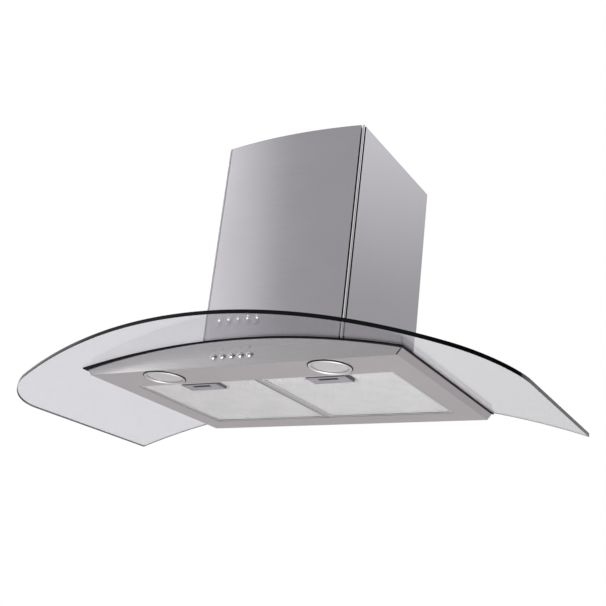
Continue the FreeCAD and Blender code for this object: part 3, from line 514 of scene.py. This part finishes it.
def build_spring(name, axis, coil_r, wire_r):
    """A coil of round wire that fills the box of its CAD solid, and the middle of its fixed end."""
    low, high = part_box(name)
    along = Vector(axis).normalized()
    across = along.orthogonal().normalized()
    beside = along.cross(across)
    reach = abs(along.y)
    length = (high - low).y - 2 * wire_r - 2 * (coil_r + wire_r) * math.sqrt(1 - reach**2)
    steps = round(length / SPRING_PITCH * SPRING_STEPS)
    start = (low + high) / 2 - along * length / 2
    mesh = bmesh.new()
    rings = []
    for step in range(steps + 1):
        turn = 2 * math.pi * step / SPRING_STEPS
        out = across * math.cos(turn) + beside * math.sin(turn)
        middle = start + out * coil_r + along * (length * step / steps)
        ring = []
        for part in range(SPRING_SIDES):
            lean = 2 * math.pi * part / SPRING_SIDES
            offset = (out * math.cos(lean) + along * math.sin(lean)) * wire_r
            ring.append(mesh.verts.new(middle + offset))
        rings.append(ring)
    for here, there in zip(rings, rings[1:]):
        for i in range(SPRING_SIDES):
            after = (i + 1) % SPRING_SIDES
            mesh.faces.new((here[i], here[after], there[after], there[i])).smooth = True
    mesh.faces.new(rings[0])
    mesh.faces.new(rings[-1][::-1])
    bmesh.ops.recalc_face_normals(mesh, faces=mesh.faces[:])
    piece = as_piece(mesh, f"{name}_coil")
    piece.data.materials.append(wire_steel)
    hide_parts(name)
    return piece, (low + high) / 2 + along * (length / 2 + wire_r)


for side in ("left", "right"):
    coat(block_grey, f"latch_housing_{side}")
    coat(bolt_grey, f"latch_slider_{side}")
    spring, fixed_end = build_spring(f"latch_spring_{side}", REARWARD, LATCH_COIL_R, LATCH_WIRE_R)
    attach(spring, f"filter_{side}")
    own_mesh(spring)

# ---- Lamps ---------------------------------------------------------------------------------------
# Two low-voltage spotlights. Each has a satin metal ring pressed into the underside, a thin black ring
# round it that is painted shade for the gap between ring and steel, a frosted glass that is dimpled
# inside, an aluminium dish above it and a small capsule.

lamp_frost = clear_glass("lamp_glass", (0.33, 0.325, 0.33), (0.95, 0.95, 0.94))
frost_surface = lamp_frost.node_tree.nodes["Principled BSDF"]
frost_surface.inputs["Roughness"].default_value = 0.3
frost_surface.inputs["Transmission Weight"].default_value = 0.35
dish = plain_finish("anodised_dish", (0.88, 0.88, 0.87), 0.22, metallic=1.0)
capsule = plain_finish("capsule_glass", (0.93, 0.92, 0.88), 0.12, contrast=0.04)
satin_ring = plain_finish(
    "satin_ring", (0.52, 0.505, 0.51), 0.50, metallic=1.0, relief_strength=0.02, contrast=0.04
)

# Widths are measured across the ring and heights up from its lowest face.
RING_STEPS = 120
RING_BEAD = 0.0026
RING_GROOVE = 0.0009
RING_ROUND = 0.0008
RING_BACK = 0.0017
GROOVE_TOP = 0.0013
CHAMFER = 0.0005
LIP = 0.0004
LENS_PLAY = 0.0003
LENS_SEAT = 0.0024
SLEEVE_W = 0.003
# The thin black ring round the lamp ring is painted shade for the gap between ring and steel.
SHADOW_RING_W = 0.0013
SHADOW_RING_EDGE = 0.0009
SHADOW_RING_LOW = 0.0006
SHADOW_RING_GAP = 0.0001


def turned(name, profile, centre):
    """A closed ring: the profile of (radius, height) points swept round an upright axis."""
    mesh = bmesh.new()
    loops = []
    for step in range(RING_STEPS):
        turn = 2 * math.pi * step / RING_STEPS
        loop = []
        for r, z in profile:
            loop.append(mesh.verts.new((centre.x + r * math.cos(turn), centre.y + r * math.sin(turn), z)))
        loops.append(loop)
    for step in range(RING_STEPS):
        here, there = loops[step], loops[(step + 1) % RING_STEPS]
        for i in range(len(profile)):
            after = (i + 1) % len(profile)
            mesh.faces.new((here[i], here[after], there[after], there[i])).smooth = True
    bmesh.ops.recalc_face_normals(mesh, faces=mesh.faces[:])
    return as_piece(mesh, name)


def build_lamp_ring(side):
    """The ring with its groove, and a thin black ring round it on the steel: painted shade for the gap
    between them.
    """
    low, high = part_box(f"lamp_bezel_{side}")
    lens_low, lens_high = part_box(f"lamp_lens_{side}")
    middle = (low + high) / 2
    edge = (high.x - low.x) / 2
    grip = (lens_high.x - lens_low.x) / 2 + LENS_PLAY
    base = low.z
    back = base + RING_BACK
    seat = lens_low.z + LENS_SEAT
    outer = edge - SHADOW_RING_W
    shadow_ring = [(edge, back), (edge, base + SHADOW_RING_EDGE)]
    shadow_ring += [(outer + SHADOW_RING_GAP, base + SHADOW_RING_LOW), (outer + SHADOW_RING_GAP, back)]
    profile = [(outer, back)]
    for step in range(6):
        sweep = math.pi / 2 * step / 5
        reach = outer - RING_ROUND + RING_ROUND * math.cos(sweep)
        profile.append((reach, base + RING_ROUND * (1 - math.sin(sweep))))
    bead_in = outer - RING_BEAD
    groove_in = bead_in - RING_GROOVE
    profile += [(bead_in + CHAMFER, base), (bead_in, base + CHAMFER), (bead_in, base + GROOVE_TOP)]
    profile += [(groove_in, base + GROOVE_TOP), (groove_in, base + CHAMFER)]
    profile += [(groove_in - LIP, base + LIP / 2), (grip + LIP, base + LIP), (grip, base + 2 * LIP)]
    profile += [(grip, seat), (outer - SLEEVE_W, seat), (outer - SLEEVE_W, back)]
    return turned(f"lamp_ring_{side}", profile, middle), turned(f"lamp_gasket_{side}", shadow_ring, middle)


LENS_RINGS = 22
LENS_SPOKES = 72
LENS_CROWN = 0.0011
DIMPLE = 0.0004
DIMPLE_RINGS = 9  # half waves from the middle to the rim
DIMPLE_SPOKES = 18
PLAIN_RIM = 0.93  # share of the radius where the dimples stop


def lens_level(low, high, share, turn, underside):
    if underside:
        return low.z + LENS_CROWN * share**2
    dimple = math.cos(share * DIMPLE_RINGS * math.pi) * math.cos(turn * DIMPLE_SPOKES)
    return high.z - DIMPLE + DIMPLE * dimple * (share < PLAIN_RIM)


def lens_face(mesh, side, underside):
    """One round face of the glass; returns its outer ring of points."""
    low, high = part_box(f"lamp_lens_{side}")
    centre = (low + high) / 2
    radius = (high.x - low.x) / 2
    rings = [[mesh.verts.new((centre.x, centre.y, low.z if underside else high.z - DIMPLE))]]
    for ring in range(1, LENS_RINGS + 1):
        share = ring / LENS_RINGS
        reach = radius * share
        row = []
        for spoke in range(LENS_SPOKES):
            turn = 2 * math.pi * spoke / LENS_SPOKES
            level = lens_level(low, high, share, turn, underside)
            x, y = centre.x + reach * math.cos(turn), centre.y + reach * math.sin(turn)
            row.append(mesh.verts.new((x, y, level)))
        rings.append(row)
    for ring in range(LENS_RINGS):
        inner, outer = rings[ring], rings[ring + 1]
        for spoke in range(LENS_SPOKES):
            after = (spoke + 1) % LENS_SPOKES
            corners = [inner[0], outer[spoke], outer[after]]
            if ring > 0:
                corners = [inner[spoke], outer[spoke], outer[after], inner[after]]
            mesh.faces.new(corners[::-1] if underside else corners)
    return rings[-1]


def build_lens(side):
    """A pressed disc, crowned below and dimpled on its hidden face."""
    mesh = bmesh.new()
    under = lens_face(mesh, side, True)
    top = lens_face(mesh, side, False)
    for spoke in range(LENS_SPOKES):
        after = (spoke + 1) % LENS_SPOKES
        mesh.faces.new((under[spoke], under[after], top[after], top[spoke]))
    for face in mesh.faces:
        face.smooth = True
    return as_piece(mesh, f"lamp_glass_{side}")


for side in ("left", "right"):
    lens = build_lens(side)
    lens.data.materials.append(lamp_frost)
    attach(lens, "canopy")
    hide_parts(f"lamp_lens_{side}")
    ring, shadow_ring = build_lamp_ring(side)
    ring.data.materials.append(satin_ring)
    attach(ring, "canopy")
    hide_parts(f"lamp_bezel_{side}")
    # black ring round the lamp ring: painted shade for the gap, in the rubber finish of the glass seal
    shadow_ring.data.materials.append(seal_rubber)
    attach(shadow_ring, "canopy")
    coat(dish, f"lamp_can_{side}")
    coat(capsule, f"lamp_bulb_{side}")

# ---- Push buttons --------------------------------------------------------------------------------
# Five domed chrome caps on sprung stems, each in a chrome bezel that snaps into the front plate. A
# black moulded switch block behind the plate takes the stems. Small signs are printed above them.

BUTTONS = ("light", "off", "speed_1", "speed_2", "speed_3")
INWARD = (0, 0.992647, 0.121054)  # the way a button is pressed, square to the leaning front plate
BUTTON_COIL_R = 0.0034
BUTTON_WIRE_R = 0.0005

chrome = plain_finish(
    "polished_chrome", (0.70, 0.69, 0.71), 0.07, metallic=1.0, relief_strength=0.01, contrast=0.03
)
for name in BUTTONS:
    coat(chrome, f"button_{name}")
    spring, fixed_end = build_spring(f"button_spring_{name}", INWARD, BUTTON_COIL_R, BUTTON_WIRE_R)
    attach(spring, "canopy")
    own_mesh(spring)
coat(chrome, "button_bezels")
black_moulding = plain_finish("black_moulding", (0.022, 0.022, 0.024), 0.48, grain=1000)
coat(black_moulding, "switch_block")

SIGN_H = 0.0024
SIGN_RISE = 0.0109  # from a button's middle up to its sign
SIGN_T = 0.00006
SIGN_LIFT = 0.00001  # between the steel and the ink
SIGN_LINE = 0.0005
BAR_PITCH = 0.001
ARC_STEPS = 12
RAY_START = 0.02  # in front of the plate, where the search for its face begins

printed_ink = plain_finish("sign_ink", (0.16, 0.155, 0.16), 0.5, grain=1800)


def sign_bar(x, y, length):
    """An upright bar with its corners cut."""
    chamfer = SIGN_LINE * 0.3
    half_w, half_h = SIGN_LINE / 2, length / 2
    return [
        (x - half_w + chamfer, y - half_h),
        (x + half_w - chamfer, y - half_h),
        (x + half_w, y - half_h + chamfer),
        (x + half_w, y + half_h - chamfer),
        (x + half_w - chamfer, y + half_h),
        (x - half_w + chamfer, y + half_h),
        (x - half_w, y + half_h - chamfer),
        (x - half_w, y - half_h + chamfer),
    ]


def sign_arc(radius, start, end):
    """Short slabs laid round part of a circle, angles in degrees."""
    slabs = []
    inner, outer = radius - SIGN_LINE / 2, radius + SIGN_LINE / 2
    for step in range(ARC_STEPS):
        first = math.radians(start + (end - start) * step / ARC_STEPS)
        last = math.radians(start + (end - start) * (step + 1) / ARC_STEPS)
        corners = ((inner, first), (outer, first), (outer, last), (inner, last))
        slabs.append([(r * math.cos(a), r * math.sin(a)) for r, a in corners])
    return slabs


def sign_outlines(name):
    """Generic signs: a lit disc, the usual off mark, and one to three bars for the speeds."""
    if name == "light":
        return sign_arc(SIGN_H * 0.3, 0, 360) + [sign_bar(0, SIGN_H * 0.5, SIGN_H * 0.25)]
    if name == "off":
        return sign_arc(SIGN_H * 0.45, 120, 420) + [sign_bar(0, SIGN_H * 0.35, SIGN_H * 0.5)]
    count = int(name[-1])
    return [sign_bar((i - (count - 1) / 2) * BAR_PITCH, 0, SIGN_H) for i in range(count)]


def build_signs():
    """All five signs as one thin piece, each laid on the plate above its button."""
    fascia = nodes["front_fascia"]
    to_local = fascia.matrix_world.inverted()
    mesh = bmesh.new()
    for name in BUTTONS:
        low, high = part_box(f"button_{name}")
        above = Vector(((low.x + high.x) / 2, low.y - RAY_START, (low.z + high.z) / 2 + SIGN_RISE))
        _, hit, out, _ = fascia.ray_cast(to_local @ above, to_local.to_3x3() @ Vector((0, 1, 0)))
        face = fascia.matrix_world @ hit
        out = (fascia.matrix_world.to_3x3() @ out).normalized()
        side = Vector((1, 0, 0))
        up = out.cross(side).normalized()
        up = up if up.z > 0 else -up
        for outline in sign_outlines(name):
            under = [mesh.verts.new(face + side * x + up * y + out * SIGN_LIFT) for x, y in outline]
            over = [mesh.verts.new(v.co + out * SIGN_T) for v in under]
            mesh.faces.new(under[::-1])
            mesh.faces.new(over)
            for i in range(len(under)):
                after = (i + 1) % len(under)
                mesh.faces.new((under[i], under[after], over[after], over[i]))
    bmesh.ops.recalc_face_normals(mesh, faces=mesh.faces[:])
    return as_piece(mesh, "button_signs")


signs = build_signs()
signs.data.materials.append(printed_ink)
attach(signs, "canopy")

# ---- Electrics -----------------------------------------------------------------------------------
# A moulded terminal box with a cable gland on top of the blower box, the motor's capacitor, the lamp
# transformer between the lamps, and the plastic-sheathed leads that join them.

coat(plain_finish("terminal_box_grey", (0.42, 0.43, 0.44), 0.5, grain=900), "control_box")
coat(plain_finish("gland_nylon", (0.03, 0.03, 0.032), 0.4, grain=900), "mains_gland")
coat(plain_finish("capacitor_case", (0.05, 0.05, 0.055), 0.35, grain=900), "run_capacitor")
coat(plain_finish("transformer_white", (0.82, 0.82, 0.79), 0.4, grain=900), "lamp_transformer")
coat(plain_finish("lead_insulation", (0.75, 0.75, 0.72), 0.38, grain=1500), "wiring_loom")

# ---- Blower --------------------------------------------------------------------------------------
# A galvanised box on the wall plate holds the scroll with its moulded inlet rings. The motor hangs in
# the right-hand inlet on a three-armed bracket and turns a moulded wheel. Two flaps in the duct collar
# fall shut when it stops.

coat(zinc_sheet, "hanging_plate", "blower_box", "blower_scroll")
coat(zinc_sheet, "outlet_collar", "motor_bracket", "chimney_bracket")
coat(plain_finish("wheel_moulding", (0.03, 0.03, 0.033), 0.44, grain=900), "impeller", "inlet_rings")
coat(plain_finish("flap_moulding", (0.035, 0.035, 0.038), 0.5, grain=900), "flap_front", "flap_rear")
coat(plain_finish("motor_enamel", (0.06, 0.065, 0.075), 0.4, grain=700), "fan_motor")
coat(wire_steel, "flap_rod")

# ---- Studio --------------------------------------------------------------------------------------
# A plain pale floor far below the hood, as it hangs on a wall, and a white surround. The surround lights
# the steel more from the upper left and from behind, and less from the right. Three soft boxes add to it:
# one from the left, one from below that reaches the underside, and a weak one in front.

FLOOR_DROP = 1.55
FLOOR_HALF = 9
SURROUND_WHITE = 1.0
ROOM_BASE = 0.52
ROOM_LEAST = 0.02
ROOM_GLOWS = (  # towards, outer angle, gain, core angle
    ((-0.92, -0.36, 0.16), 37, 0.40, 25),
    ((0.27, 0.45, 0.85), 37, 1.12, 0),
    ((-0.85, 0.30, 0.50), 40, 0.9, 0),
)
ROOM_SHADE = ((0.92, -0.38, -0.02), 64, 1.5, 46)

floor_mesh = bpy.data.meshes.new("floor")
floor_z = cad_box[0][2] - FLOOR_DROP
floor_corners = [(x * FLOOR_HALF, y * FLOOR_HALF, floor_z) for x, y in ((-1, -1), (1, -1), (1, 1), (-1, 1))]
floor_mesh.from_pydata(floor_corners, [], [(0, 1, 2, 3)])
floor = bpy.data.objects.new("floor", floor_mesh)
bpy.context.scene.collection.objects.link(floor)
floor_mesh.materials.append(plain_finish("floor_paint", (0.80, 0.79, 0.79), 0.7, grain=200, contrast=0.01))

surround = bpy.data.worlds.new("studio")
bpy.context.scene.world = surround
surround.use_nodes = True
sky = surround.node_tree
for old in list(sky.nodes):
    sky.nodes.remove(old)
direction = add_node(sky, "TexCoord").outputs["Generated"]


def lobe(towards, width, gain, core):
    """Light from one side of the room: full within the core angle, none beyond the width."""
    unit = Vector(towards).normalized()
    facing = add_node(sky, "VectorMath", {0: direction, 1: unit}, operation="DOT_PRODUCT").outputs["Value"]
    return spread(sky, facing, 0.0, gain, math.cos(math.radians(width)), math.cos(math.radians(core)))


def combine(operation, first, second):
    return add_node(sky, "Math", {0: first, 1: second}, operation=operation).outputs[0]


glow = ROOM_BASE
for towards, width, gain, core in ROOM_GLOWS:
    glow = combine("ADD", lobe(towards, width, gain, core), glow)
glow = combine("SUBTRACT", glow, lobe(*ROOM_SHADE))
glow = combine("MAXIMUM", glow, ROOM_LEAST)
room = add_node(sky, "Background", {"Color": (1, 1, 1, 1), "Strength": glow})
white = add_node(sky, "Background", {"Color": (1, 1, 1, 1), "Strength": SURROUND_WHITE})
path = add_node(sky, "LightPath")
straight = combine("ADD", path.outputs["Is Camera Ray"], path.outputs["Is Transmission Ray"])
straight = combine("MINIMUM", straight, 1.0)
both = add_node(sky, "MixShader", {0: straight, 1: room.outputs[0], 2: white.outputs[0]})
add_node(sky, "OutputWorld", {"Surface": both.outputs[0]})


def soft_box(name, place, aim, size, power):
    """A rectangular lamp that lights the hood and isn't seen itself, even through the glass."""
    lamp = bpy.data.lights.new(name, "AREA")
    lamp.shape = "RECTANGLE"
    lamp.size, lamp.size_y = size
    lamp.energy = power
    holder = bpy.data.objects.new(name, lamp)
    bpy.context.scene.collection.objects.link(holder)
    holder.location = place
    holder.rotation_euler = (Vector(aim) - Vector(place)).to_track_quat("-Z", "Y").to_euler()
    holder.visible_camera = False
    holder.visible_transmission = False


soft_box("left_box", (-2.9, -0.9, 1.2), (0, -0.2, 0), (1.4, 1.8), 14)
soft_box("floor_box", (0.35, -0.2, -1.6), (0.15, -0.2, -0.2), (1.2, 1.2), 34)
soft_box("front_box", (-1.95, -1.85, -0.1), (-0.2, -0.35, -0.1), (0.7, 1.0), 2.8)

# ---- Camera --------------------------------------------------------------------------------------
# Low and to the right of the hood, looking up at it. The lens is shifted sideways and upwards, so that
# the hood sits off its axis.

CAMERA_AT = (0.858117, -1.501562, -0.632277)
CAMERA_RIGHT = (0.88755, 0.45159, 0.09126)
CAMERA_UP = (0.05348, -0.29774, 0.95315)
CAMERA_BACK = (0.45760, -0.84108, -0.28841)
SENSOR_WIDTH = 36.0
FOCAL_LENGTH = 58.503
SHIFT = (-0.10696, 0.10805)

camera_data = bpy.data.cameras.new("camera")
camera_data.sensor_width = SENSOR_WIDTH
camera_data.lens = FOCAL_LENGTH
camera_data.shift_x, camera_data.shift_y = SHIFT
camera = bpy.data.objects.new("camera", camera_data)
bpy.context.scene.collection.objects.link(camera)
turn = Matrix((CAMERA_RIGHT, CAMERA_UP, CAMERA_BACK)).transposed()
camera.matrix_world = Matrix.Translation(CAMERA_AT) @ turn.to_4x4()
bpy.context.scene.camera = camera
bpy.context.scene.view_settings.view_transform = "Standard"
